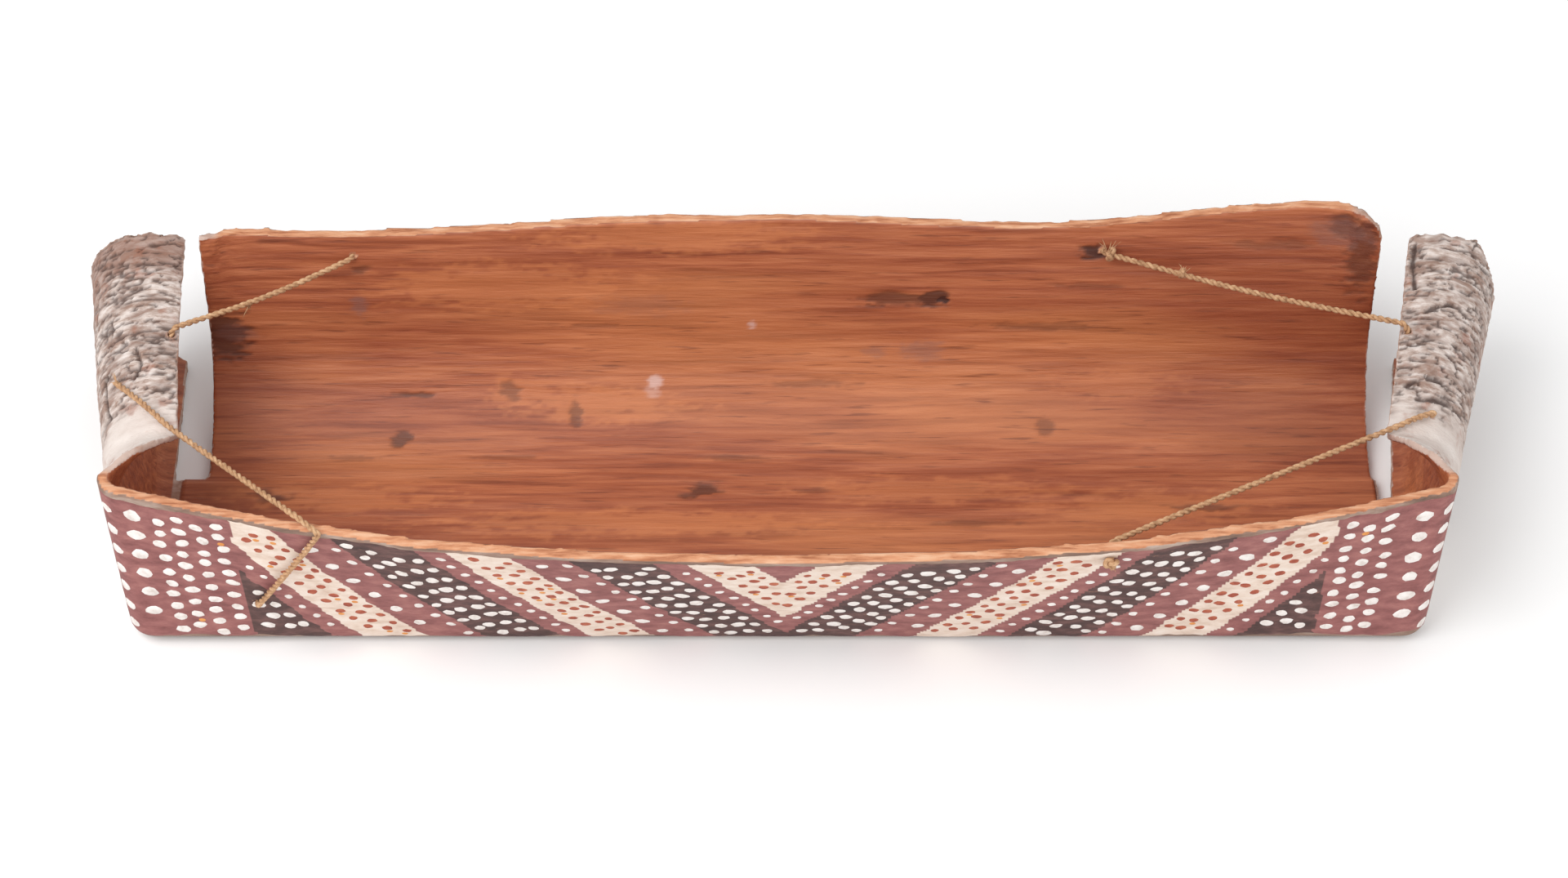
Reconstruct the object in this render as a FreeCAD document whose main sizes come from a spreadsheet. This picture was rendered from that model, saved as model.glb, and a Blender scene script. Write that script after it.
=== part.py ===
import FreeCAD, Part
import math
import os

from FreeCAD import Vector

# A coolamon made from one sheet of bark. The middle of the sheet is bent into a trough.
# The near wall runs past both ends of the trough, turns a tight corner and becomes an end
# ear, which leans out, curls over at the top and stops free beside the far wall.
# Four lengths of twine through awl holes tie the ears to the two long walls.
# +X runs along the trough, +Y from the near (painted) wall to the far wall, and Z = 0 is
# the surface that the coolamon stands on.

SIZES = [
    # alias, value, meaning
    ("bark", 5.0, "thickness of the bark sheet"),
    ("left_length", 281.0, "middle to the outside of the left end corner"),
    ("right_length", 276.0, "middle to the outside of the right end corner"),
    ("near_depth", 76.0, "middle to the outside of the near wall at its ends"),
    ("wall_height", 102.0, "height of the near wall at its ends"),
    ("near_bow", 30.0, "how far the near rim bows out at the middle"),
    ("bow_power", 2.5, "how flat the bow is along the middle"),
    ("fold_radius", 10.0, "outside radius of the fold between floor and near wall"),
    ("corner_flat", 1.0, "flat of floor between the fold and a corner's centre"),
    ("floor_back", 14.0, "middle to the start of the far wall's bend"),
    ("far_radius", 60.0, "outside radius of the far wall's bend"),
    ("far_slope", 72.0, "slope of the far wall above its bend, degrees"),
    ("far_top", 112.0, "height of the far wall before its rim is trimmed"),
    ("far_end_left", 257.0, "middle to the left free end of the far wall"),
    ("far_end_right", 262.0, "middle to the right free end of the far wall"),
    ("far_end_run", 28.0, "length of the far wall's turned ends"),
    ("far_end_turn", 7.0, "how much more the far wall turns in at its free ends, degrees"),
    ("far_rim_left_end", 94.0, "height of the far rim at its left end"),
    ("far_rim_left", 90.5, "height of the far rim beside its left end"),
    ("far_rim_left_half", 93.0, "height of the far rim halfway to its left end"),
    ("far_rim_middle", 97.5, "height of the far rim at the middle"),
    ("far_rim_dip", 95.0, "height of the far rim where it dips, right of the middle"),
    ("far_rim_right", 103.5, "height of the far rim beside its right end"),
    ("far_corner", 12.0, "radius of the far wall's right top corner"),
    ("slit_width", 1.0, "width of the slit between the floor and an ear"),
    ("slit_start", 6.0, "length of floor left whole between a corner and its slit"),
    ("ear_wall", 45.0, "flat height of an ear between its fold and its curl"),
    ("ear_wall_end", 38.0, "the same at the ear's free end"),
    ("ear_fold_end", 16.0, "outside radius of an ear's lower fold at its free end"),
    ("pocket", 34.0, "length of the corner pocket, where the ear's curl begins"),
    ("curl_radius", 31.0, "outside radius of an ear's curled top"),
    ("curl_pocket", 108.0, "turn of the curl behind the pocket, degrees"),
    ("ear_end_left", 88.0, "middle to the free end of the left ear"),
    ("ear_end_right", 88.0, "middle to the free end of the right ear"),
    ("ear_lean_left", 28.0, "outward lean of the left ear at its free end, degrees"),
    ("ear_lean_right", 34.0, "outward lean of the right ear at its free end, degrees"),
    ("ear_swing_left", 4.0, "how far the left ear swings out from its corner"),
    ("ear_swing_right", 15.0, "how far the right ear swings out from its corner"),
    ("curl_end_left", 149.0, "turn of the left ear's curl at its free end, degrees"),
    ("curl_end_right", 152.0, "turn of the right ear's curl at its free end, degrees"),
    ("ear_cut_length", 26.0, "length along the right ear of its cut far corner"),
    ("ear_cut_width", 13.0, "width of the right ear's cut far corner"),
    ("twine", 2.5, "diameter of the twine"),
    ("awl_clearance", 0.2, "gap all round the twine in its awl holes"),
    ("twine_lift", 0.9, "gap between the twine and the ear that it crosses"),
    ("rim_lift", 1.3, "gap between the twine and the near rim that it bends over"),
    ("twine_bend", 2.6, "radius of the twine's bends at a hole or a rim"),
    ("knot_radius", 3.4, "radius of a stopper knot"),
    ("knot_height", 4.6, "height of a stopper knot"),
    ("knot_gap", 0.6, "what the curve of the bark keeps free under a knot's middle"),
    ("left_back_down", 11.0, "left back tie's hole, down from the far rim"),
    ("right_back_down", 14.0, "right back tie's hole, down from the far rim"),
    ("left_front_down", 66.0, "left front tie's hole, down from the near rim"),
    ("right_front_down", 9.0, "right front tie's hole, down from the near rim"),
    ("back_sag", 3.5, "how far a back tie hangs below a straight line"),
]

doc = FreeCAD.newDocument("coolamon")
sheet = doc.addObject("Spreadsheet::Sheet", "Sizes")
for row, (alias, value, meaning) in enumerate(SIZES, start=1):
    sheet.set("A%d" % row, alias)
    sheet.set("B%d" % row, str(value))
    sheet.set("C%d" % row, meaning)
    sheet.setAlias("B%d" % row, alias)
doc.recompute()


def size(alias):
    return float(sheet.get(alias))


BARK = size("bark")
FOLD = size("fold_radius")
NEAR_FOLD_Y = FOLD - size("near_depth")            # where the floor meets the near fold
CORNER_Y = NEAR_FOLD_Y + size("corner_flat")       # centre line of both corners
NEAR_FLAT = size("wall_height") - FOLD             # near wall above its fold
OVER_EAR = size("twine") / 2 + size("twine_lift")
OVER_RIM = size("twine") / 2 + size("rim_lift")
SIDES = {"left": -1, "right": 1}
CORNER_X = {name: size(name + "_length") - FOLD - size("corner_flat") for name in SIDES}

# The same lines as expressions of the sheet.
FOLD_Y_WORDS = "(Sizes.fold_radius - Sizes.near_depth)"
CORNER_Y_WORDS = "(Sizes.corner_flat + Sizes.fold_radius - Sizes.near_depth)"
CORNER_X_WORDS = {name: "(Sizes.%s_length - Sizes.fold_radius - Sizes.corner_flat)" % name
                  for name in SIDES}

NEAR_STATIONS = (-1.0, -0.9, -0.75, -0.55, -0.3, 0.0, 0.3, 0.55, 0.75, 0.9, 1.0)
FAR_RIM = (                                        # share of the half length, its height
    (-0.90, "far_rim_left"),
    (-0.50, "far_rim_left_half"),
    (0.06, "far_rim_middle"),
    (0.51, "far_rim_dip"),
    (0.84, "far_rim_right"),
)
POCKET_STEPS = 3                                   # spaces between a pocket's sections
EAR_STEPS = 3                                      # and between those of the ear behind it
EAR_LEAN_POWER = 0.8                               # an ear leans mostly beside its corner
EAR_SWING_POWER = 1.5                              # and swings out mostly at its free end
TWINE_SIDES = 8

# Where the ties are fastened: shares of the half length along a long wall, or pairs of
# shares along an ear from its corner and round its curl.
FAR_HOLE = {"left": 0.74, "right": 0.535}
BACK_EAR_HOLE = {"left": (0.59, 0.94), "right": (0.60, 0.94)}
BACK_EAR_RIM = {"left": (0.61, 0.985), "right": (0.62, 0.985)}
BACK_BEADS = {"left": (), "right": (0.08, 0.52)}
FRONT_EAR_HOLE = {"left": (0.43, 0.56), "right": (0.30, 0.68)}
FRONT_EAR_EDGE = {"left": (0.225, 0.94), "right": (0.225, 0.94)}
NEAR_HOLE = {"left": 0.82, "right": 0.50}
NEAR_RIM_CROSSED = (0.735, 0.705)                  # its inner edge, then its outer edge


def direction(heading):
    angle = math.radians(heading)
    return math.cos(angle), math.sin(angle)


def walk(start, heading, steps):
    """Outer face of a bent strip: legs of (first, middle, last) points and their headings.

    A step is (length, 0) for a flat run or (radius, turn) for a bend to the left, in degrees.
    """
    legs = []
    a, b = start
    for measure, turn in steps:
        ca, sa = direction(heading)
        if turn == 0:
            last = (a + measure * ca, b + measure * sa)
            legs.append(((a, b), None, last, heading, heading, None))
        else:
            centre = (a - measure * sa, b + measure * ca)
            middle_heading = heading + turn / 2
            last_heading = heading + turn
            middle = (centre[0] + measure * direction(middle_heading)[1],
                      centre[1] - measure * direction(middle_heading)[0])
            last = (centre[0] + measure * direction(last_heading)[1],
                    centre[1] - measure * direction(last_heading)[0])
            legs.append(((a, b), middle, last, heading, last_heading, middle_heading))
            heading = last_heading
        a, b = last
    return legs


def inward(point, heading):
    ca, sa = direction(heading)
    return point[0] - BARK * sa, point[1] + BARK * ca


def strip_wire(legs, place):
    """Closed outline of the strip: its outer face, an end, its inner face and the other end."""
    outer, inner = [], []
    for first, middle, last, heading, last_heading, middle_heading in legs:
        inner_first = inward(first, heading)
        inner_last = inward(last, last_heading)
        if middle is None:
            outer.append(Part.LineSegment(place(*first), place(*last)).toShape())
            inner.append(Part.LineSegment(place(*inner_last), place(*inner_first)).toShape())
        else:
            inner_middle = inward(middle, middle_heading)
            outer.append(Part.Arc(place(*first), place(*middle), place(*last)).toShape())
            inner.append(Part.Arc(place(*inner_last), place(*inner_middle),
                                  place(*inner_first)).toShape())
    first, last = legs[0], legs[-1]
    end = Part.LineSegment(place(*last[2]), place(*inward(last[2], last[4]))).toShape()
    start = Part.LineSegment(place(*inward(first[0], first[3])), place(*first[0])).toShape()
    return Part.Wire(outer + [end] + inner[::-1] + [start])


def across_x(x):
    """Places a point of an outline in the plane across the trough at x."""
    return lambda a, b: Vector(x, a, b)


def across_y(side, y):
    """Places a point of an outline in the plane across an ear at y."""
    return lambda a, b: Vector(side * a, y, b)


def keep(name, shape):
    item = doc.addObject("Part::Feature", name)
    item.Shape = shape
    return item


def loft(name, wires, straight=True):
    """A solid through outlines, with straight lines from each to the next or smooth."""
    item = doc.addObject("Part::Loft", name)
    item.Sections = [keep("%s_section_%d" % (name, number), wire)
                     for number, wire in enumerate(wires, start=1)]
    item.Solid = True
    item.Ruled = straight
    return item


def extrude(name, face, along, length):
    """A face pushed out along a direction by an expression of the sheet."""
    item = doc.addObject("Part::Extrusion", name)
    item.Base = keep(name + "_outline", face)
    item.DirMode = "Custom"
    item.Dir = along
    item.Solid = True
    item.setExpression("LengthFwd", length)
    return item


def make_box(name, lengths, corner):
    """A box, each length and each number of its lowest corner an expression of the sheet."""
    box = doc.addObject("Part::Box", name)
    for length_name, words in zip(("Length", "Width", "Height"), lengths):
        box.setExpression(length_name, words)
    for axis, words in zip("xyz", corner):
        box.setExpression("Placement.Base." + axis, words)
    return box


def fuse(name, shapes):
    item = doc.addObject("Part::MultiFuse", name)
    item.Shapes = shapes
    return item


def cut(name, base, tool):
    item = doc.addObject("Part::Cut", name)
    item.Base = base
    item.Tool = tool
    return item


def near_legs(x):
    """The near wall at x, from its rim down and round its fold, in Y and Z."""
    share = abs(x) / CORNER_X["left" if x < 0 else "right"]
    bow = size("near_bow") * (1 - min(share, 1.0) ** size("bow_power"))
    lean = math.degrees(math.asin(bow / NEAR_FLAT))
    up, across = direction(lean)
    rim = (NEAR_FOLD_Y - FOLD * up - NEAR_FLAT * across,
           FOLD - FOLD * across + NEAR_FLAT * up)
    return walk(rim, lean - 90, [(NEAR_FLAT, 0), (FOLD, 90 - lean)])


def far_legs(end_share):
    """The far wall from the floor up, end_share of the way along one of its turned ends."""
    turn = size("far_slope") + size("far_end_turn") * end_share ** 2
    across, up = direction(turn)
    flat = (size("far_top") - size("far_radius") * (1 - across)) / up
    return walk((size("floor_back"), 0), 0, [(size("far_radius"), turn), (flat, 0)])


def make_near_side():
    wires = []
    for share in NEAR_STATIONS:
        x = share * CORNER_X["left" if share < 0 else "right"]
        wires.append(strip_wire(near_legs(x), across_x(x)))
    return loft("near_side", wires)


def make_floor():
    """The flat floor, parted from both ears by a slit that stops short of the corner."""
    floor = make_box("trough_floor",
                     ("%s + %s" % (CORNER_X_WORDS["left"], CORNER_X_WORDS["right"]),
                      "Sizes.floor_back - %s" % FOLD_Y_WORDS, "Sizes.bark"),
                     ("-%s" % CORNER_X_WORDS["left"], FOLD_Y_WORDS, "0"))
    start = "%s + Sizes.slit_start" % CORNER_Y_WORDS
    length = "Sizes.floor_back - %s - Sizes.slit_start + Sizes.slit_width" % CORNER_Y_WORDS
    slits = []
    for name, edge in (("left", "-%s"), ("right", "%s - Sizes.slit_width")):
        slits.append(make_box(name + "_slit", ("Sizes.slit_width", length, "Sizes.bark * 2"),
                              (edge % CORNER_X_WORDS[name], start, "-Sizes.bark / 2")))
    return cut("slit_floor", floor, fuse("slits", slits))


def make_rim_trim():
    """What is cut off above the far rim, drawn as seen along the Y axis."""
    left, right = -size("far_end_left") - FOLD, size("far_end_right")
    points = [Vector(left, 0, size("far_rim_left_end"))]
    for share, alias in FAR_RIM:
        half = size("far_end_left") if share < 0 else size("far_end_right")
        points.append(Vector(share * half, 0, size(alias)))
    corner, crest = size("far_corner"), size("far_rim_right")
    points.append(Vector(right - corner, 0, crest))
    rim = Part.BSplineCurve()
    rim.interpolate(Points=points, InitialTangent=points[1] - points[0],
                    FinalTangent=Vector(right, 0, 0))
    rounding = corner * (1 - math.sqrt(0.5))
    low = Vector(right, 0, crest - corner)
    arc = Part.Arc(points[-1], Vector(right - rounding, 0, crest - rounding), low)
    top = size("far_top") + FOLD
    square = [low, low + Vector(FOLD, 0, 0), Vector(right + FOLD, 0, top),
              Vector(left, 0, top), points[0]]
    edges = [rim.toShape(), arc.toShape()]
    for first, last in zip(square, square[1:]):
        edges.append(Part.LineSegment(first, last).toShape())
    return extrude("rim_trim", Part.Face(Part.Wire(edges)), Vector(0, 1, 0),
                   "Sizes.left_length")


def make_far_wall():
    """The far wall: a straight middle, two ends that turn in, and a trimmed rim."""
    run = size("far_end_run")
    outline = strip_wire(far_legs(0), across_x(run - size("far_end_left")))
    parts = [extrude("far_middle", Part.Face(outline), Vector(1, 0, 0),
                     "Sizes.far_end_left + Sizes.far_end_right - 2 * Sizes.far_end_run")]
    for name, side in SIDES.items():
        wires = []
        for share in (0.0, 0.5, 1.0):
            x = side * (size("far_end_" + name) - run * (1 - share))
            wires.append(strip_wire(far_legs(share), across_x(x)))
        parts.append(loft("far_end_" + name, wires, straight=False))
    return cut("far_wall", fuse("untrimmed_far_wall", parts), make_rim_trim())


def make_corner(name):
    """A tight moulded corner: the near wall's outline turned a quarter round a vertical line."""
    side = SIDES[name]
    steps = [(NEAR_FLAT, 0), (FOLD, 90), (size("corner_flat"), 0)]
    legs = walk((NEAR_FOLD_Y - FOLD, size("wall_height")), -90, steps)
    outline = strip_wire(legs, across_x(side * CORNER_X[name]))
    corner = doc.addObject("Part::Revolution", name + "_corner")
    corner.Source = keep(name + "_corner_outline", Part.Face(outline))
    corner.Axis = Vector(0, 0, 1)
    corner.Base = Vector(side * CORNER_X[name], CORNER_Y, 0)
    corner.Angle = 90 * side
    corner.Solid = True
    return corner


def ear_y(name, share):
    return CORNER_Y + (size("ear_end_" + name) - CORNER_Y) * share


def pocket_share(name):
    return size("pocket") / (size("ear_end_" + name) - CORNER_Y)


def ear_steps(name, share, round_share=1.0):
    """Start and steps of an ear's outline, share of the way along it from its corner.

    The last step is the curl, as far round as round_share.
    """
    pocket = pocket_share(name)
    lean = size("ear_lean_" + name) * share ** EAR_LEAN_POWER
    lip = CORNER_X[name] + size("ear_swing_" + name) * share ** EAR_SWING_POWER
    wall = size("ear_wall") + (size("ear_wall_end") - size("ear_wall")) * share
    fold = FOLD + (size("ear_fold_end") - FOLD) * share
    corner_top = size("wall_height") - FOLD - size("ear_wall")
    pocket_top = size("curl_radius") * math.radians(size("curl_pocket"))
    if share == 0:
        curl = (corner_top * round_share, 0)
    elif share < pocket:
        turn = size("curl_pocket") * share / pocket
        length = corner_top + (pocket_top - corner_top) * share / pocket
        curl = (length / math.radians(turn), turn * round_share)
    else:
        along = (share - pocket) / (1 - pocket)
        turn = size("curl_pocket") + (size("curl_end_" + name) - size("curl_pocket")) * along
        curl = (size("curl_radius"), turn * round_share)
    return (lip, 0), [(size("corner_flat"), 0), (fold, 90 - lean), (wall, 0), curl]


def ear_outline(name, share):
    """An ear's outline across Y, its curl in two halves."""
    start, steps = ear_steps(name, share)
    measure, turn = steps.pop()
    half = (measure, turn / 2) if turn else (measure / 2, 0)
    legs = walk(start, 0, steps + [half, half])
    return strip_wire(legs, across_y(SIDES[name], ear_y(name, share)))


def make_ear(name):
    """An ear: the corner pocket, where its curl begins, and the even curl behind it."""
    pocket = pocket_share(name)
    front = [pocket * step / POCKET_STEPS for step in range(POCKET_STEPS + 1)]
    back = [pocket + (1 - pocket) * step / EAR_STEPS for step in range(EAR_STEPS + 1)]
    return fuse(name + "_ear", [
        loft(name + "_pocket", [ear_outline(name, share) for share in front]),
        loft(name + "_curl", [ear_outline(name, share) for share in back]),
    ])


def make_ear_cut():
    """The diagonal cut at the right ear's far outer corner, seen from above."""
    start, steps = ear_steps("right", 1.0)
    turned_out = walk(start, 0, steps[:-1])[-1]
    centre = turned_out[2][0] - size("curl_radius") * direction(turned_out[4])[1]
    outermost = centre + size("curl_radius")
    end = size("ear_end_right")
    width, length = size("ear_cut_width"), size("ear_cut_length")
    first = Vector(outermost - width, end, 0)
    along = Vector(width, -length, 0)
    corners = [first - along, first + along * 2, first + along * 2 + Vector(length, 0, 0),
               first - along + Vector(length, 0, 0)]
    return extrude("ear_cut", Part.Face(Part.makePolygon(corners + corners[:1])),
                   Vector(0, 0, 1), "Sizes.far_top")


def crossing(shape, point, along, reach):
    """Where a line through the bark meets its faces, nearest to point: first and last."""
    step = Vector(along).normalize() * reach
    inside = Part.makeLine(point - step, point + step).common(shape)
    best = min(inside.Edges, key=lambda edge: edge.CenterOfMass.distanceToPoint(point))
    ends = sorted((v.Point for v in best.Vertexes), key=lambda p: p.dot(along))
    return ends[0], ends[-1]


def rounded(points, tight):
    """Edges of a route: straight runs joined by tangent arcs, and the arcs' radii.

    The corners in tight bend at the twine's small radius, as round the edge of a hole. The
    others have the largest arc that their runs leave room for.
    """
    edges, radii = [], []
    last = points[0]
    for number in range(1, len(points) - 1):
        before, corner, after = points[number - 1:number + 2]
        back, ahead = before - corner, after - corner
        half_turn = (math.pi - back.getAngle(ahead)) / 2
        radius = 0.45 * min(back.Length, ahead.Length) / math.tan(half_turn)
        if number in tight:
            radius = min(radius, size("twine_bend"))
        back.normalize()
        ahead.normalize()
        reach = radius * math.tan(half_turn)
        inside = (back + ahead).normalize()
        middle = corner + inside * (radius / math.cos(half_turn) - radius)
        edges.append(Part.LineSegment(last, corner + back * reach).toShape())
        edges.append(Part.Arc(corner + back * reach, middle, corner + ahead * reach).toShape())
        last = corner + ahead * reach
        radii.append(round(radius, 1))
    edges.append(Part.LineSegment(last, points[-1]).toShape())
    return edges, radii


def ring(radius, height=0.0):
    """A flat ring of TWINE_SIDES sides round the Z axis."""
    corners = []
    for number in range(TWINE_SIDES):
        angle = 2 * math.pi * number / TWINE_SIDES
        corners.append(Vector(radius * math.cos(angle), radius * math.sin(angle), height))
    return Part.makePolygon(corners + corners[:1])


def turned(shape, base, along):
    """A shape made round the Z axis, set at base and facing along."""
    shape.Placement = FreeCAD.Placement(base, FreeCAD.Rotation(Vector(0, 0, 1), along))
    return shape


def tube(edges, radius):
    """A many-sided tube along a route, its volume compared with its section and length."""
    wire = Part.Wire(edges)
    first = edges[0]
    start, along = first.valueAt(first.FirstParameter), first.tangentAt(first.FirstParameter)
    solid = wire.makePipeShell([turned(ring(radius), start, along)], True, False)
    section = TWINE_SIDES / 2 * radius ** 2 * math.sin(2 * math.pi / TWINE_SIDES)
    expected = section * wire.Length
    if abs(solid.Volume - expected) > 0.01 * expected:
        raise ValueError("a twine tube's volume doesn't match its length")
    return solid


def knot(seat, along):
    """A stopper knot: a bead whose flat side sits on the bark at seat."""
    radius, height = size("knot_radius"), size("knot_height")
    rings = [ring(radius * 0.8), ring(radius, height * 0.35), ring(radius * 0.85, height * 0.8),
             ring(radius * 0.4, height)]
    return turned(Part.makeLoft(rings, True, True), seat, along)


def leg_lines(leg):
    """The way along a flat leg across the trough, and the normal of its outer face."""
    ca, sa = direction(leg[3])
    return Vector(0, ca, sa), Vector(0, sa, -ca)


def near_hole(bark, name, share, from_rim):
    """Outer and inner mouths of an awl hole through the near wall, down from its rim."""
    x = SIDES[name] * share * CORNER_X[name]
    flat = near_legs(x)[0]
    down, normal = leg_lines(flat)
    inner, outer = crossing(bark, Vector(x, *flat[0]) + down * from_rim, normal, 3 * BARK)
    return outer, inner


def far_hole(bark, name, share, from_rim):
    """Outer and inner mouths of an awl hole through the far wall, down from its rim."""
    x = SIDES[name] * share * size("far_end_" + name)
    flat = far_legs(0)[-1]
    up, normal = leg_lines(flat)
    low, high = (Vector(x, *point) - normal * (BARK / 2) for point in (flat[0], flat[2]))
    crossed = Part.makeLine(low, high).common(bark)
    rim = max((vertex.Point for vertex in crossed.Vertexes), key=lambda point: point.z)
    inner, outer = crossing(bark, rim - up * from_rim, normal, 3 * BARK)
    return outer, inner


def ear_face(bark, name, share, round_share):
    """The outer and inner face of an ear's curl at shares along it and round it."""
    start, steps = ear_steps(name, share, round_share)
    leg = walk(start, 0, steps)[-1]
    ca, sa = direction(leg[4])
    place = across_y(SIDES[name], ear_y(name, share))
    normal = place(sa, -ca) - place(0, 0)
    inner, outer = crossing(bark, place(*leg[2]), normal, 3 * BARK)
    return outer, inner


def beyond(face, other, length):
    """A point past a hole's mouth, in line with the hole."""
    return face + (face - other).normalize() * length


def mouth(face, other):
    """Where the twine turns as it leaves a hole."""
    return beyond(face, other, OVER_EAR)


def knot_middle(face, other):
    return beyond(face, other, size("knot_height") / 2)


def knot_seat(face, other):
    """Where a stopper knot sits outside a hole, and the way that it faces."""
    return beyond(face, other, size("knot_gap")), (face - other).normalize()


def over_ear(bark, name, stops):
    """Points just above an ear's curl, at pairs of shares along it and round it."""
    return [mouth(*ear_face(bark, name, share, round_share)) for share, round_share in stops]


def between(first, last, count):
    """Pairs of shares evenly from the first pair to the last, without the first."""
    stops = []
    for number in range(1, count):
        share = number / (count - 1)
        stops.append((first[0] + (last[0] - first[0]) * share,
                      first[1] + (last[1] - first[1]) * share))
    return stops


def past_edge(edge, before, after):
    """A route's corner that bends round the near rim's edge just clear of it."""
    inside = ((before - edge).normalize() + (after - edge).normalize()).normalize()
    half_turn = (math.pi - (before - edge).getAngle(after - edge)) / 2
    radius = size("twine_bend")
    return edge + inside * (radius - OVER_RIM - radius / math.cos(half_turn))


def make_tie(label, points, tight, seats, beads):
    """One length of twine along its route, with a stopper knot at each end.

    seats are the places of the stopper knots and beads those of knots along the run. Returns
    the tie and the channels that its ends need through the bark.
    """
    edges, radii = rounded(points, tight)
    radius = size("twine") / 2
    body = tube(edges, radius)
    for seat, along in seats + beads:
        body = body.fuse(knot(seat, along))
    tie = keep(label, body)
    tie.Label = label
    wide = (radius + size("awl_clearance")) / math.cos(math.pi / TWINE_SIDES)
    channels = [tube(edges[:2], wide), tube(edges[-2:], wide)]
    print(label, "length", round(Part.Wire(edges).Length), "mm, radii", radii)
    return tie, channels


def back_tie(bark, name):
    """Twine from outside the far wall, through it and over to a hole beside an ear's rim."""
    outer, inner = far_hole(bark, name, FAR_HOLE[name], size(name + "_back_down"))
    top, under = ear_face(bark, name, *BACK_EAR_HOLE[name])
    leave = mouth(inner, outer)
    rim = over_ear(bark, name, [BACK_EAR_RIM[name]])[0]
    along = rim - leave
    middle = leave + along / 2 - Vector(0, 0, size("back_sag"))
    points = [knot_middle(outer, inner), leave, middle, rim, mouth(top, under),
              knot_middle(under, top)]
    last = len(points) - 1
    beads = [(leave + (middle - leave) * share, middle - leave) for share in BACK_BEADS[name]]
    return make_tie(name + "_back_tie", points, (1, last - 2, last - 1),
                    [knot_seat(outer, inner), knot_seat(under, top)], beads)


def left_front_tie(bark):
    """Twine from the left ear over its curl and the near rim to a hole low in the near wall."""
    top, under = ear_face(bark, "left", *FRONT_EAR_HOLE["left"])
    outer, inner = near_hole(bark, "left", NEAR_HOLE["left"], size("left_front_down"))
    leave = mouth(outer, inner)
    inner_x, outer_x = (-share * CORNER_X["left"] for share in NEAR_RIM_CROSSED)
    inner_leg, outer_leg = near_legs(inner_x)[0], near_legs(outer_x)[0]
    inner_edge = Vector(inner_x, *inward(inner_leg[0], inner_leg[3]))
    outer_edge = Vector(outer_x, *outer_leg[0])
    over_rim = inner_edge + Vector(0, 0, OVER_RIM)
    points = [knot_middle(under, top), mouth(top, under)]
    points += over_ear(bark, "left", between(FRONT_EAR_HOLE["left"], FRONT_EAR_EDGE["left"], 5))
    points += [over_rim, past_edge(outer_edge, over_rim, leave), leave,
               knot_middle(inner, outer)]
    last = len(points) - 1
    return make_tie("left_front_tie", points, (1, last - 3, last - 2, last - 1),
                    [knot_seat(under, top), knot_seat(inner, outer)], [])


def right_front_tie(bark):
    """Twine from the right ear over its curl to a hole just under the near rim."""
    top, under = ear_face(bark, "right", *FRONT_EAR_HOLE["right"])
    outer, inner = near_hole(bark, "right", NEAR_HOLE["right"], size("right_front_down"))
    points = [knot_middle(under, top), mouth(top, under)]
    points += over_ear(bark, "right", between(FRONT_EAR_HOLE["right"], FRONT_EAR_EDGE["right"], 4))
    points += [mouth(inner, outer), knot_middle(outer, inner)]
    last = len(points) - 1
    return make_tie("right_front_tie", points, (1, last - 1),
                    [knot_seat(under, top), knot_seat(outer, inner)], [])


folded = fuse("folded_sheet", [
    make_floor(),
    make_near_side(),
    make_far_wall(),
    make_corner("left"),
    make_corner("right"),
    make_ear("left"),
    cut("cut_right_ear", make_ear("right"), make_ear_cut()),
])
doc.recompute()

bark = folded.Shape
ties = [
    back_tie(bark, "left"),
    left_front_tie(bark),
    back_tie(bark, "right"),
    right_front_tie(bark),
]
channels = [channel for tie, pair in ties for channel in pair]
sheet_of_bark = cut("bark_sheet", folded, keep("awl_holes", Part.Compound(channels)))
sheet_of_bark.Label = "bark_sheet"
doc.recompute()

pieces = [sheet_of_bark] + [tie for tie, pair in ties]
for item in doc.Objects:
    if "Invalid" in item.State or "Error" in item.State:
        raise ValueError(item.Name + " failed")
for item in pieces:
    shape = item.Shape
    if shape.isNull() or not shape.isValid() or len(shape.Solids) != 1:
        raise ValueError(item.Label + " isn't one valid solid")

os.makedirs("parts", exist_ok=True)
for item in pieces:
    item.Shape.exportStep("parts/%s.step" % item.Label)
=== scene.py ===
import math
import random

import bmesh
import bpy
import numpy as np
from mathutils import Matrix, Vector
from mathutils.bvhtree import BVHTree


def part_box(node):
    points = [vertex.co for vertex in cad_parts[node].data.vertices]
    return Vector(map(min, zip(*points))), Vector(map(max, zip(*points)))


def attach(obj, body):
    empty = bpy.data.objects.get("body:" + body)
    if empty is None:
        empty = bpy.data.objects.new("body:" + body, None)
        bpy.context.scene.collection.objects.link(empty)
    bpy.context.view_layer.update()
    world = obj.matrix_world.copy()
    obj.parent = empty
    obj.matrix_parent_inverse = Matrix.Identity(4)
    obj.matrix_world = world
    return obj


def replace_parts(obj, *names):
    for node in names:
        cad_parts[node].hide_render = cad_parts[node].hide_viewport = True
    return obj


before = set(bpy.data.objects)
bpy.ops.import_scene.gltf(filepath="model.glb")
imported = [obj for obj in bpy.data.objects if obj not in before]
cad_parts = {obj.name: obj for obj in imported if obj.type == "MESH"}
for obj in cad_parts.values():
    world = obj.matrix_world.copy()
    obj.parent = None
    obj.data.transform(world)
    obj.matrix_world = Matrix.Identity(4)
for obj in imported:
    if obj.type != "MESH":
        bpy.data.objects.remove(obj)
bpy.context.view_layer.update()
scene = bpy.context.scene
MM = 0.001

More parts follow.
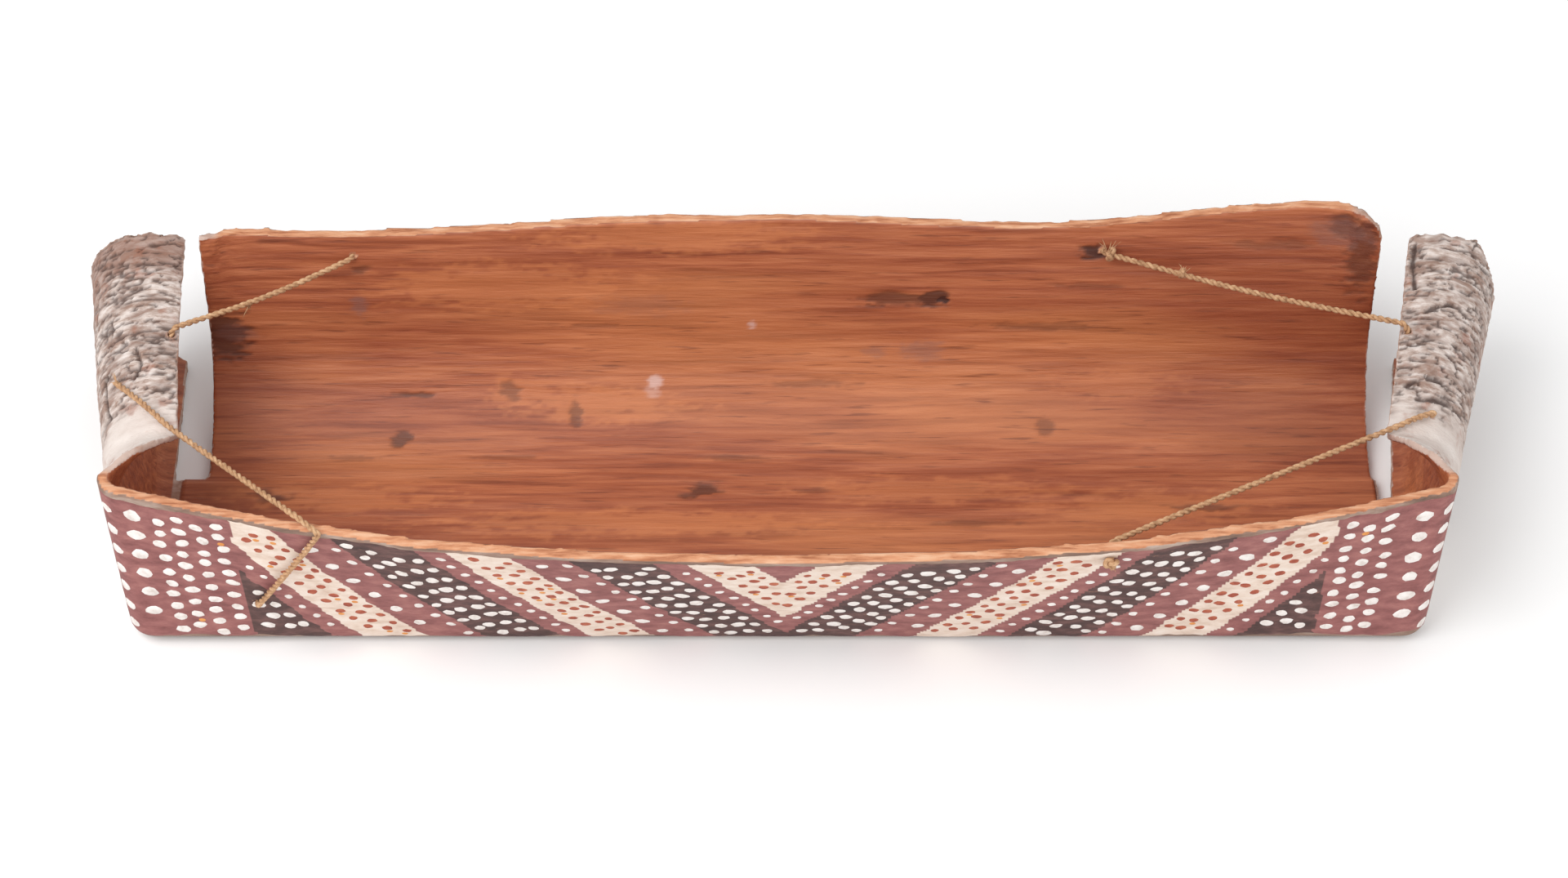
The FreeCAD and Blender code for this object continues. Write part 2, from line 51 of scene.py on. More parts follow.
# Camera: 50 degrees above the horizon, 1.5 m from a point of the trough's floor.
ELEVATION = math.radians(50)
DISTANCE = 1.5
TARGET = Vector((0, 0.020, 0))
PICTURE_WIDTH, PICTURE_HEIGHT = 1920, 1075
FOCAL = 4100                                       # in pixels of the picture
CENTRE_U, CENTRE_V = 960, 581                      # where the camera's axis meets the picture
BACK = Vector((0, -math.cos(ELEVATION), math.sin(ELEVATION)))
UP = Vector((0, math.sin(ELEVATION), math.cos(ELEVATION)))
EYE = TARGET + BACK * DISTANCE


def add_camera():
    lens = bpy.data.cameras.new("camera")
    lens.sensor_width = 36
    lens.lens = FOCAL / PICTURE_WIDTH * lens.sensor_width
    lens.shift_y = (CENTRE_V - PICTURE_HEIGHT / 2) / PICTURE_WIDTH
    camera = bpy.data.objects.new("camera", lens)
    scene.collection.objects.link(camera)
    camera.location = EYE
    camera.rotation_euler = BACK.to_track_quat("Z", "Y").to_euler()
    scene.camera = camera


def sight(u, v):
    """The direction in which the camera sees a pixel of the photograph."""
    right, up = (u - CENTRE_U) / FOCAL, (CENTRE_V - v) / FOCAL
    return (Vector((1, 0, 0)) * right + UP * up - BACK).normalized()


def lattice(cell, seed):
    """A steady random number from 0 to 1 for each whole-numbered cell."""
    x, y, z = (cell[:, axis].astype(np.int64) for axis in range(3))
    mixed = x * 374761393 + y * 668265263 + z * 1442695041 + seed * 974634777
    mixed = (mixed ^ (mixed >> 13)) * 1274126177
    mixed = mixed ^ (mixed >> 16)
    return (mixed & 0xFFFFFF) / float(0xFFFFFF)


def noise(points, grain, seed):
    """Smooth noise from -1 to 1 at points, with cells as large as grain along each axis."""
    scaled = points / np.array(grain, dtype=float)
    cell = np.floor(scaled)
    part = scaled - cell
    part = part * part * (3 - 2 * part)
    total = np.zeros(len(points))
    for corner in np.ndindex(2, 2, 2):
        offset = np.array(corner)
        weight = np.prod(np.where(offset == 1, part, 1 - part), axis=1)
        total += weight * lattice(cell + offset, seed)
    return total * 2 - 1


def smoothstep(value, low, high):
    share = np.clip((value - low) / (high - low), 0, 1)
    return share * share * (3 - 2 * share)


# Noise fields: the size of a cell along each axis in mm, and a seed.
FIELDS = {
    "wide_fissure": ((11, 2.6, 11), 3),
    "fine_fissure": ((4.2, 1.3, 4.2), 4),
    "wide_plate": ((8, 3.4, 8), 5),
    "fine_plate": ((3.2, 1.5, 3.2), 6),
    "lump": ((22, 16, 22), 7),
    "patch_border": ((9, 9, 9), 8),
    "grain": ((42, 4.5, 5), 11),
    "fine_grain": ((17, 1.9, 2.2), 12),
    "wave": ((70, 26, 30), 13),
    "back": ((24, 6, 6), 14),
    "cut_edge": ((3, 3, 3), 15),
    "tear": ((5, 400, 5), 16),
    "fine_tear": ((1.9, 400, 1.9), 17),
    "rim": ((26, 400, 400), 18),
    "fine_rim": ((5, 9, 400), 19),
    "crack_wander": ((5, 5, 5), 61),
    "paint_top": ((9, 1, 1), 71),
    "fine_paint_top": ((2.5, 1, 1), 72),
    "paint_bottom": ((14, 1, 1), 73),
    "fine_paint_bottom": ((4, 1, 1), 74),
    "paint_border": ((6, 6, 1), 75),
    "weathered": ((12, 12, 12), 81),
}


def field(name, points):
    return noise(points, *FIELDS[name])


# The bark sheet: the CAD sheet's surface, remeshed finely enough to be carved.
VOXEL = 1.1 * MM
SMOOTH_SHARE, SMOOTH_TIMES = 0.5, 3
BARK_TURN = math.radians(35)                       # a sharper edge parts the sheet's two sides
UNRELATED = 9                                      # an angle for faces without a direction
OUTER, EDGE, INNER = 0.0, 0.5, 1.0


def mark_group(seed, number, group):
    """Give a number to all faces that are reached from a seed without a sharp edge."""
    group[seed.index] = number
    waiting = [seed]
    while waiting:
        face = waiting.pop()
        for edge in face.edges:
            for other in edge.link_faces:
                if group[other.index] >= 0 or other.normal.length < 0.5:
                    continue
                if face.normal.angle(other.normal, UNRELATED) < BARK_TURN:
                    group[other.index] = number
                    waiting.append(other)


def sheet_sides(mesh):
    """The CAD sheet as a tree of triangles, and the side of the sheet that each is on."""
    work = bmesh.new()
    work.from_mesh(mesh)
    bmesh.ops.remove_doubles(work, verts=work.verts, dist=1e-6)
    work.faces.ensure_lookup_table()
    work.normal_update()
    group = [-1] * len(work.faces)
    count = 0
    for seed in work.faces:
        if group[seed.index] < 0:
            mark_group(seed, count, group)
            count += 1
    tree = BVHTree.FromBMesh(work)
    inner = group[tree.ray_cast(Vector((0, 0, 0.2)), Vector((0, 0, -1)))[2]]
    outer = group[tree.ray_cast(Vector((0, 0, -0.2)), Vector((0, 0, 1)))[2]]
    sides = [INNER if number == inner else OUTER if number == outer else EDGE for number in group]
    work.free()
    return tree, sides


def evaluated_mesh(item):
    bpy.context.view_layer.update()
    graph = bpy.context.evaluated_depsgraph_get()
    mesh = bpy.data.meshes.new_from_object(item.evaluated_get(graph))
    bpy.data.objects.remove(item)
    return mesh


def remeshed(mesh):
    item = bpy.data.objects.new("scratch", mesh.copy())
    scene.collection.objects.link(item)
    remesh = item.modifiers.new("remesh", "REMESH")
    remesh.mode = "VOXEL"
    remesh.voxel_size = VOXEL
    smooth = item.modifiers.new("smooth", "SMOOTH")
    smooth.factor = SMOOTH_SHARE
    smooth.iterations = SMOOTH_TIMES
    return evaluated_mesh(item)


def vectors(items, name):
    flat = np.empty(len(items) * 3)
    items.foreach_get(name, flat)
    return flat.reshape(-1, 3)


def mesh_tree(mesh, points):
    return BVHTree.FromPolygons([tuple(point) for point in points],
                                [tuple(face.vertices) for face in mesh.polygons])


def set_attribute(mesh, name, values):
    mesh.attributes.new(name, "FLOAT", "POINT").data.foreach_set("value", values)


def shade_smooth(mesh):
    mesh.polygons.foreach_set("use_smooth", [True] * len(mesh.polygons))


def add_piece(name, mesh, material):
    item = bpy.data.objects.new(name, mesh)
    scene.collection.objects.link(item)
    mesh.materials.clear()
    mesh.materials.append(material)
    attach(item, "root")
    return item


# Marks seen inside the trough: pixel, half width and half height in mm, strength.
# Most dark marks are stains; (275, 412) is a painted shadow in the far left corner, and (1156,
# 369) is a small hole's opening painted dark as painted shade.
DARK_MARKS_AND_SHADE = [
    (1095, 366, 17, 4.0, 0.75), (1142, 366, 7, 4.5, 1.0), (1156, 369, 2.6, 1.8, 1.6),
    (625, 478, 5, 5, 0.55), (505, 483, 11, 1.6, 0.8), (492, 538, 5, 4.5, 0.8),
    (860, 600, 9, 4, 0.9), (845, 607, 7, 1.6, 0.8), (705, 505, 3, 7, 0.6), (1280, 520, 4, 5, 0.5),
    (332, 608, 10, 3.5, 0.8), (275, 412, 12, 12, 0.9), (1650, 275, 12, 7, 0.7),
    (1668, 310, 7, 22, 0.7), (1270, 400, 25, 2.2, 0.4), (990, 470, 22, 1.8, 0.4),
    (900, 560, 18, 1.6, 0.45), (1480, 620, 16, 2.4, 0.6), (620, 560, 16, 1.5, 0.4),
    (1190, 640, 22, 1.8, 0.45), (1330, 350, 20, 1.6, 0.35), (720, 400, 14, 1.4, 0.35),
    (430, 560, 12, 1.4, 0.4), (1000, 600, 12, 1.5, 0.45),
    (1560, 300, 22, 3, 0.4), (1340, 310, 7, 4, 1.1), (440, 330, 6, 2, 0.6),
]
BLUE_MARKS = [
    # The blue marks are stains, except (290, 408), which is painted shade in the far left corner.
    (440, 375, 4, 6, 0.7), (1130, 430, 12, 4.5, 0.5), (1072, 430, 6, 3, 0.5),
    (1640, 285, 14, 8, 0.5), (290, 408, 10, 5, 0.4), (780, 375, 22, 6, 0.25),
]
PALE_MARKS = [
    (802, 468, 3.6, 4.0, 1.0), (797, 480, 4.5, 2.5, 0.5), (921, 398, 2.6, 2.0, 0.9),
]
# These lighter orange patches are painted light where light falls on the inner bark.
PAINTED_LIGHT_MARKS = [
    (610, 350, 60, 12, 0.5), (740, 495, 45, 8, 0.6), (640, 480, 18, 8, 0.5),
    (830, 290, 60, 9, 0.5), (1370, 470, 30, 7, 0.35), (780, 640, 90, 8, 0.5),
    (1150, 600, 60, 8, 0.4), (420, 610, 50, 8, 0.5), (1400, 620, 50, 10, 0.4),
]
MARK_RAGGED, MARK_GRAIN = 0.45, (7, 1.6, 1.6)
MARK_FRAYED, MARK_FINE_GRAIN = 0.25, (2.2, 0.9, 0.9)
MARK_FULL, MARK_END = 0.55, 1.15                   # where a mark starts to fade, and its end

# Cracks seen in the ears' outer bark: pixels along each, and its half width in mm.
CRACKS = [
    ([(1731, 296), (1729, 325), (1732, 352)], 1.4),
    ([(1735, 487), (1765, 490), (1788, 506)], 1.7),
    ([(1722, 470), (1745, 461), (1768, 468)], 1.2),
    ([(1745, 380), (1775, 372), (1805, 384)], 1.2),
    ([(1725, 420), (1752, 414), (1788, 424)], 1.0),
    ([(124, 411), (160, 413), (190, 417), (216, 412)], 1.0),
    ([(128, 362), (165, 352), (205, 358)], 1.1),
    ([(122, 330), (150, 324), (185, 332), (222, 322)], 1.1),
    ([(135, 395), (137, 410), (131, 430)], 1.0),
    ([(165, 425), (172, 445), (163, 462)], 1.2),
    ([(128, 462), (127, 488), (132, 512)], 1.2),
]
CRACK_WANDER, CRACK_FULL = 0.6, 0.3                # shares of a crack's half width


def seen_on(tree, u, v):
    """The place on the bark, in mm, that the camera sees at a pixel of the photograph."""
    return np.array(tree.ray_cast(EYE, sight(u, v))[0]) / MM


def painted(points, tree, marks, seed):
    """Strength of the marks at each point of the bark, with ragged outlines along the grain."""
    total = np.zeros(len(points))
    ragged = noise(points, MARK_GRAIN, seed) * MARK_RAGGED
    ragged = ragged + noise(points, MARK_FINE_GRAIN, seed + 1) * MARK_FRAYED
    for u, v, half_width, half_height, strength in marks:
        off = points - seen_on(tree, u, v)
        across = np.hypot(off[:, 1], off[:, 2])
        reach = np.hypot(off[:, 0] / half_width, across / half_height) + ragged
        total = np.maximum(total, strength * (1 - smoothstep(reach, MARK_FULL, MARK_END)))
    return total


def crack_depth(points, tree):
    """Depth, from 0 to 1, of the cracks at each point of the bark."""
    depth = np.zeros(len(points))
    for pixels, width in CRACKS:
        corners = [seen_on(tree, u, v) for u, v in pixels]
        wander = field("crack_wander", points) * width * CRACK_WANDER
        for first, last in zip(corners, corners[1:]):
            run = last - first
            share = np.clip(((points - first) @ run) / (run @ run), 0, 1)
            away = np.linalg.norm(points - (first + share[:, None] * run), axis=1) + wander
            depth = np.maximum(depth, 1 - smoothstep(away, CRACK_FULL * width, width))
    return depth


# Where the ears begin, and which parts of the bark are smooth, creased, torn or worn, in mm.
EAR_X = (246, 252)
EAR_Y = (-66, -62)
SMOOTH_PATCH_Y = (-24, -8)
PATCH_WANDER = 6
SLIT_X = (-269.5, 264.5)
SLIT_HALF = (0.6, 2.4)
SLIT_FAR_Y, SLIT_TOP_Z = 15, 12
TORN_X, TORN_Y = (247, 250), (70, 90)
RIM_END_X, RIM_Z = (262, 268), (78, 96)
WEATHERED_Y, WEATHERED_WANDER = (52, 66), 9

# Depths and heights of the carving, in mm.
EAR_DEPTH, EAR_SMOOTH_DEPTH = 0.75, 0.25
PLATE_HEIGHT, LUMP_HEIGHT, FISSURE_DEPTH, CRACK_DEPTH = 0.35, 0.25, 0.9, 1.3
FINE_FISSURE, FINE_PLATE = 0.5, 0.6                # shares of the wide ones
FISSURE_HALF = (0.05, 0.22)
SMOOTH_SHARE_OF_PATCH = 0.85
GRAIN, FINE_GRAIN, WAVE = 0.26, 0.12, 0.5
INNER_DEPTH, MARK_DEPTH, SLIT_DEPTH = 0.25, 0.5, 1.6
BACK_RELIEF = 0.12
EDGE_RELIEF, EDGE_DEPTH = 0.35, 0.3
TEAR_DEPTH, TEAR, FINE_TEAR = 1.6, 1.7, 1.0
RIM_DEPTH, RIM_RELIEF, FINE_RIM = 0.7, 0.7, 0.25


def ear_skin(points, on_ear):
    """The ears' outer bark: its smooth patches, fissures, plates and depth."""
    border = points[:, 1] + field("patch_border", points) * PATCH_WANDER
    patch = on_ear * (1 - smoothstep(border, *SMOOTH_PATCH_Y))
    fissure = field("wide_fissure", points) + FINE_FISSURE * field("fine_fissure", points)
    fissure = 1 - smoothstep(np.abs(fissure), *FISSURE_HALF)
    plates = field("wide_plate", points) + FINE_PLATE * field("fine_plate", points)
    depth = EAR_DEPTH - PLATE_HEIGHT * plates - LUMP_HEIGHT * field("lump", points)
    depth = depth + FISSURE_DEPTH * fissure
    depth = depth * (1 - SMOOTH_SHARE_OF_PATCH * patch) + EAR_SMOOTH_DEPTH * patch
    return patch, fissure, plates, depth


def crease(points):
    """The slit between the floor and each ear, from 0 to 1."""
    away = np.minimum(*(np.abs(points[:, 0] - x) for x in SLIT_X))
    near = (points[:, 1] < SLIT_FAR_Y) * (points[:, 2] < SLIT_TOP_Z)
    return (1 - smoothstep(away, *SLIT_HALF)) * near


def wear_edges(moved, points):
    """Tear the ears' free ends and let the rims wander."""
    torn = smoothstep(points[:, 1], *TORN_Y) * smoothstep(np.abs(points[:, 0]), *TORN_X)
    tear = TEAR_DEPTH + TEAR * field("tear", points) + FINE_TEAR * field("fine_tear", points)
    moved[:, 1] -= torn * np.maximum(tear, 0)
    off_ear = 1 - smoothstep(np.abs(points[:, 0]), *RIM_END_X)
    high = smoothstep(points[:, 2], *RIM_Z) * off_ear
    rim = RIM_DEPTH + RIM_RELIEF * field("rim", points) + FINE_RIM * field("fine_rim", points)
    moved[:, 2] -= high * rim


def carved_bark(cad_mesh):
    """The bark's mesh with its relief and its attributes, and a tree of its faces."""
    cad_tree, cad_sides = sheet_sides(cad_mesh)
    mesh = remeshed(cad_mesh)
    mesh.name = "bark"
    place = vectors(mesh.vertices, "co")
    normal = vectors(mesh.vertex_normals, "vector")
    side = np.array([cad_sides[cad_tree.find_nearest(Vector(point))[2]] for point in place])
    tree = mesh_tree(mesh, place)
    points = place / MM
    outer = (side == OUTER).astype(float)
    inner = (side == INNER).astype(float)
    edge = (side == EDGE).astype(float)
    marked = inner + 0.5 * edge
    on_ear = smoothstep(np.abs(points[:, 0]), *EAR_X) * smoothstep(points[:, 1], *EAR_Y)
    rough = outer * on_ear

    cracks = crack_depth(points, tree) * outer
    patch, fissure, plates, depth = ear_skin(points, on_ear)
    grain = GRAIN * field("grain", points) + FINE_GRAIN * field("fine_grain", points)
    grain += WAVE * field("wave", points)
    dark = painted(points, tree, DARK_MARKS_AND_SHADE, 21) * marked
    slit = crease(points) * inner
    push = -rough * (depth + CRACK_DEPTH * cracks)
    push += inner * (grain - INNER_DEPTH - MARK_DEPTH * dark - SLIT_DEPTH * slit)
    push += outer * (1 - on_ear) * (BACK_RELIEF * field("back", points) - BACK_RELIEF)
    push += edge * (EDGE_RELIEF * field("cut_edge", points) - EDGE_DEPTH)
    moved = points + normal * push[:, None]
    wear_edges(moved, points)
    low, high = (np.array(corner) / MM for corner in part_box("bark_sheet"))
    moved = np.clip(moved, low, high)
    mesh.vertices.foreach_set("co", (moved * MM).ravel())
    mesh.update()

    border = moved[:, 1] + WEATHERED_WANDER * field("weathered", moved)
    weathered = smoothstep(border, *WEATHERED_Y) * (moved[:, 0] < 0)
    attributes = {
        "inner": inner,
        "edge": edge,
        "ear": on_ear,
        # The slits are also painted dark here: painted shade in the creases between the floor and
        # the ears.
        "dark_mark_and_shade": np.maximum(dark, slit),
        "blue_mark": painted(moved, tree, BLUE_MARKS, 31) * marked,
        "pale_mark": painted(moved, tree, PALE_MARKS, 41) * marked,
        "painted_light_mark": painted(moved, tree, PAINTED_LIGHT_MARKS, 51) * marked,
        "crack": np.maximum(cracks, fissure * 0.85 * (1 - patch)) * rough,
        "plate": np.clip(0.5 + 0.4 * plates, 0, 1),
        "smooth_patch": patch,
        "weathered": weathered * rough,
    }
    for name, values in attributes.items():
        set_attribute(mesh, name, values)
    shade_smooth(mesh)
    return mesh, mesh_tree(mesh, moved * MM)


# Materials.
def new_material(name):
    material = bpy.data.materials.new(name)
    material.use_nodes = True
    tree = material.node_tree
    return material, tree, tree.nodes["Principled BSDF"]


def add(tree, kind, inputs=(), **settings):
    """A node with its settings, and values or links for its inputs by name or number."""
    node = tree.nodes.new(kind)
    for name, value in settings.items():
        setattr(node, name, value)
    for key, value in dict(inputs).items():
        if isinstance(value, bpy.types.NodeSocket):
            tree.links.new(value, node.inputs[key])
        else:
            node.inputs[key].default_value = value
    return node


def attribute(tree, name):
    return add(tree, "ShaderNodeAttribute", attribute_name=name).outputs["Fac"]


def stretched(tree, scale):
    """Places in the part's own frame, scaled along each axis."""
    spot = add(tree, "ShaderNodeTexCoord").outputs["Object"]
    return add(tree, "ShaderNodeMapping", {"Vector": spot, "Scale": scale}).outputs["Vector"]


def grainy(tree, scale, detail=4.0, roughness=0.55, distortion=0.0):
    inputs = {"Vector": stretched(tree, scale), "Scale": 1.0, "Detail": detail,
              "Roughness": roughness, "Distortion": distortion}
    return add(tree, "ShaderNodeTexNoise", inputs).outputs["Fac"]


def ramp(tree, value, stops):
    node = add(tree, "ShaderNodeValToRGB", {"Fac": value})
    elements = node.color_ramp.elements
    while len(elements) < len(stops):
        elements.new(0.5)
    for element, (position, color) in zip(elements, stops):
        element.position = position
        element.color = (*color, 1)
    return node.outputs["Color"]


def mask(tree, value, low, high):
    inputs = {"Value": value, "From Min": low, "From Max": high}
    return add(tree, "ShaderNodeMapRange", inputs, clamp=True).outputs["Result"]


def mixed(tree, share, first, second):
    """The first color where the share is 0, and the second where it is 1."""
    node = add(tree, "ShaderNodeMix", data_type="RGBA")
    for socket, value in ((node.inputs[0], share), (node.inputs[6], first),
                          (node.inputs[7], second)):
        if isinstance(value, bpy.types.NodeSocket):
            tree.links.new(value, socket)
        elif isinstance(value, tuple):
            socket.default_value = (*value, 1)
        else:
            socket.default_value = value
    return node.outputs[2]


def times(tree, first, second, operation="MULTIPLY"):
    return add(tree, "ShaderNodeMath", {0: first, 1: second}, operation=operation).outputs[0]


def bumped(tree, shader, height, strength, distance):
    inputs = {"Height": height, "Strength": strength, "Distance": distance}
    node = add(tree, "ShaderNodeBump", inputs)
    tree.links.new(node.outputs["Normal"], shader.inputs["Normal"])


def wood_color(tree):
    """The smooth inner bark: streaks along the trough, with the marks on it, some of them painted
    shade and painted light.
    """
    streaks = grainy(tree, (16, 300, 300), 6, 0.6, 0.4)
    wood = ramp(tree, streaks, [(0.28, (0.21, 0.048, 0.019)), (0.45, (0.36, 0.098, 0.040)),
                                (0.56, (0.45, 0.138, 0.057)), (0.75, (0.60, 0.215, 0.094))])
    broad = grainy(tree, (7, 26, 26), 3, 0.5, 0.3)
    darker = mixed(tree, 0.45, wood, (0.24, 0.052, 0.022))
    wood = mixed(tree, mask(tree, broad, 0.35, 0.62), darker, wood)
    lighter = mask(tree, grainy(tree, (5, 22, 22), 2), 0.52, 0.68)
    wood = mixed(tree, times(tree, lighter, 0.4), wood, (0.62, 0.235, 0.085))
    dashes = mask(tree, grainy(tree, (42, 620, 620), 3, 0.5), 0.60, 0.72)
    wood = mixed(tree, times(tree, dashes, 0.55), wood, (0.12, 0.028, 0.014))
    # The lighter orange marks are painted light; the dark marks are stains with painted shade in a
    # corner, a hole and the slits; one blue mark is painted shade.
    stains_shade_and_light = (("painted_light_mark", 0.8, (0.66, 0.235, 0.085)), ("dark_mark_and_shade", 0.85, (0.060, 0.018, 0.012)),
              ("blue_mark", 0.7, (0.20, 0.105, 0.095)))
    for name, share, color in stains_shade_and_light:
        wood = mixed(tree, times(tree, attribute(tree, name), share), wood, color)
    return mixed(tree, attribute(tree, "pale_mark"), wood, (0.62, 0.38, 0.32))


def skin_color(tree):
    """The ears' pale outer bark: flecks, plates, a smooth patch, rust spots and cracks."""
    flecks = grainy(tree, (150, 420, 150), 5, 0.65, 0.2)
    skin = ramp(tree, flecks, [(0.30, (0.25, 0.145, 0.105)), (0.43, (0.48, 0.37, 0.32)),
                               (0.55, (0.66, 0.56, 0.51)), (0.75, (0.80, 0.73, 0.69))])
    patches = mask(tree, grainy(tree, (60, 130, 60), 4, 0.6, 0.5), 0.52, 0.63)
    skin = mixed(tree, times(tree, patches, 0.75), skin, (0.29, 0.17, 0.125))
    sunken = mixed(tree, 0.5, skin, (0.22, 0.13, 0.10))
    skin = mixed(tree, mask(tree, attribute(tree, "plate"), 0.25, 0.55), sunken, skin)
    calm = ramp(tree, grainy(tree, (50, 120, 50), 3), [(0.3, (0.60, 0.50, 0.45)),
                                                       (0.7, (0.76, 0.68, 0.63))])
    skin = mixed(tree, attribute(tree, "smooth_patch"), skin, calm)
    worn = times(tree, attribute(tree, "weathered"), 0.65)
    skin = mixed(tree, worn, skin, (0.25, 0.115, 0.075))
    rust = mask(tree, grainy(tree, (90, 90, 90), 3), 0.60, 0.70)
    skin = mixed(tree, times(tree, rust, 0.45), skin, (0.34, 0.11, 0.055))
    cracks = times(tree, attribute(tree, "crack"), 0.9)
    return mixed(tree, cracks, skin, (0.055, 0.028, 0.022))


def back_color(tree):
    """The weathered outside of the walls and the floor."""
    return ramp(tree, grainy(tree, (30, 190, 190), 5, 0.6), [
        (0.3, (0.13, 0.075, 0.055)), (0.5, (0.28, 0.175, 0.13)), (0.72, (0.46, 0.35, 0.29))])


def lit_rim_color(tree, skin, ear):
    """The cut edges, lighter than the faces that they part: a painted highlight for the light on
    the rims.
    """
    rim = ramp(tree, grainy(tree, (60, 500, 500), 4), [(0.32, (0.36, 0.125, 0.055)),
                                                       (0.5, (0.60, 0.27, 0.14)),
                                                       (0.68, (0.72, 0.42, 0.26))])
    return mixed(tree, ear, rim, mixed(tree, 0.5, skin, (0.45, 0.24, 0.16)))


def bark_material():
    material, tree, shader = new_material("bark")
    inner, edge, ear = (attribute(tree, name) for name in ("inner", "edge", "ear"))
    skin = skin_color(tree)
    outside = mixed(tree, ear, back_color(tree), skin)
    faces = mixed(tree, inner, outside, wood_color(tree))
    # The cut edges get the lighter rim color, a painted highlight.
    color = mixed(tree, mask(tree, edge, 0.25, 0.75), faces, lit_rim_color(tree, skin, ear))
    tree.links.new(color, shader.inputs["Base Color"])

    gloss = grainy(tree, (20, 200, 200), 3)
    worn = add(tree, "ShaderNodeMapRange", {"Value": gloss, "To Min": 0.42, "To Max": 0.62})
    dull = mixed(tree, inner, (0.88, 0.88, 0.88), (0.5, 0.5, 0.5))
    even = times(tree, worn.outputs["Result"], dull, "MAXIMUM")
    tree.links.new(even, shader.inputs["Roughness"])
    fibres = grainy(tree, (60, 900, 900), 5, 0.6)
    flakes = times(tree, grainy(tree, (420, 900, 420), 4, 0.65), 1.6)
    height = add(tree, "ShaderNodeMix", {0: inner, 2: flakes, 3: fibres}, data_type="FLOAT")
    bumped(tree, shader, height.outputs[0], 0.55, 0.0006)
    return material


# The painted wall: its own coordinates are t along it from the middle, positive to the
# right, and s down from its rim, both in mm. Past a corner t runs round the corner.
NEAR_FLAT, FOLD, FOLD_Y, NEAR_BOW, BOW_POWER = 92.0, 10.0, -66.0, 30.0, 2.5
CORNER = {-1: 270.0, 1: 265.0}
CORNER_Y, CORNER_RADIUS = -65.0, 11.0
PROBE = 4 * MM                                     # how far out a ray to the bark starts


def wall_frame(t, s):
    """A point of the near wall's outer face and the way that it faces."""
    hand = -1 if t < 0 else 1
    along = min(abs(t), CORNER[hand])
    bow = NEAR_BOW * (1 - (along / CORNER[hand]) ** BOW_POWER)
    lean = math.asin(bow / NEAR_FLAT)
    turn = max(0.0, (s - NEAR_FLAT) / FOLD)
    run = min(s, NEAR_FLAT)
    y = FOLD_Y - FOLD * math.cos(lean + turn) - (NEAR_FLAT - run) * math.sin(lean)
    z = FOLD - FOLD * math.sin(lean + turn) + (NEAR_FLAT - run) * math.cos(lean)
    facing = Vector((0, -math.cos(lean + turn), -math.sin(lean + turn)))
    angle = max(0.0, abs(t) - CORNER[hand]) / CORNER_RADIUS
    if angle:
        reach = CORNER_Y - y
        facing = Matrix.Rotation(hand * angle, 3, "Z") @ facing
        return Vector((hand * CORNER[hand] + hand * reach * math.sin(angle),
                       CORNER_Y - reach * math.cos(angle), z)) * MM, facing
    return Vector((t, y, z)) * MM, facing


def on_wall(t, s, lift=0.0):
    """A point of the carved bark under a place on the wall, lifted by so many mm."""
    point, facing = wall_frame(t, s)
    hit = bark_tree.ray_cast(point + facing * PROBE, -facing, 2 * PROBE)[0]
    return (hit if hit is not None else point) + facing * lift * MM, facing


# The painting: bands that slant down from the middle, dots in rows along them, and columns
# of dots at the ends. A band's limits are in mm along the wall within one period.
GROUND, CREAM, BROWN = 0, 1, 2
SLANT = 0.62
PERIOD = 98.0
BANDS = [(0, 15, GROUND), (15, 42, CREAM), (42, 55, GROUND), (55, 88, BROWN), (88, 98, GROUND)]
END_ZONE = 226.0
PAINT_TOP, PAINT_BOTTOM, PAINT_END = 3.2, 95.0, 13.0
PAINT_STEP, PAINT_ROWS = 1.3, 76
PAINT_LIFT, PAINT_SUNK = 0.14, -0.1                # over the bark, and under it at the borders
BORDER_WANDER = 1.3


def band_at(t, s):
    if abs(t) > END_ZONE:
        return GROUND
    within = (abs(t) + SLANT * s) % PERIOD
    for low, high, kind in BANDS:
        if low <= within < high:
            return kind
    return GROUND


def paint_layer():
    """The ground colors: a thin coat on the bark with uneven borders."""
    left, right = -CORNER[-1] - PAINT_END, CORNER[1] + PAINT_END
    columns = int((right - left) / PAINT_STEP)
    ts = np.linspace(left, right, columns)
    line = np.stack([ts, np.zeros(columns), np.zeros(columns)], axis=1)
    top = PAINT_TOP + 1.2 * field("paint_top", line) + 0.5 * field("fine_paint_top", line)
    bottom = PAINT_BOTTOM + 2.4 * field("paint_bottom", line) + field("fine_paint_bottom", line)
    last_column, last_row = columns - 1, PAINT_ROWS - 1
    places, spots = [], []
    for column, t in enumerate(ts):
        for row in range(PAINT_ROWS):
            s = top[column] + (bottom[column] - top[column]) * row / last_row
            inside = 0 < row < last_row and 0 < column < last_column
            places.append(on_wall(t, s, PAINT_LIFT if inside else PAINT_SUNK)[0])
            spots.append((t, s, 0.0))
    shifts = field("paint_border", np.array(spots)) * BORDER_WANDER
    kinds = [band_at(t + shift, s) for (t, s, _), shift in zip(spots, shifts)]
    faces = []
    for column in range(last_column):
        for row in range(last_row):
            first = column * PAINT_ROWS + row
            faces.append((first, first + 1, first + PAINT_ROWS + 1, first + PAINT_ROWS))
    mesh = bpy.data.meshes.new("paint_ground")
    mesh.from_pydata(places, [], faces)
    set_attribute(mesh, "cream", [float(kind == CREAM) for kind in kinds])
    set_attribute(mesh, "brown", [float(kind == BROWN) for kind in kinds])
    shade_smooth(mesh)
    return mesh


DAB_SIDES = 11
DAB_RINGS = ((1.0, 0.05), (0.82, 0.75), (0.45, 0.97))    # share of its size and of its height


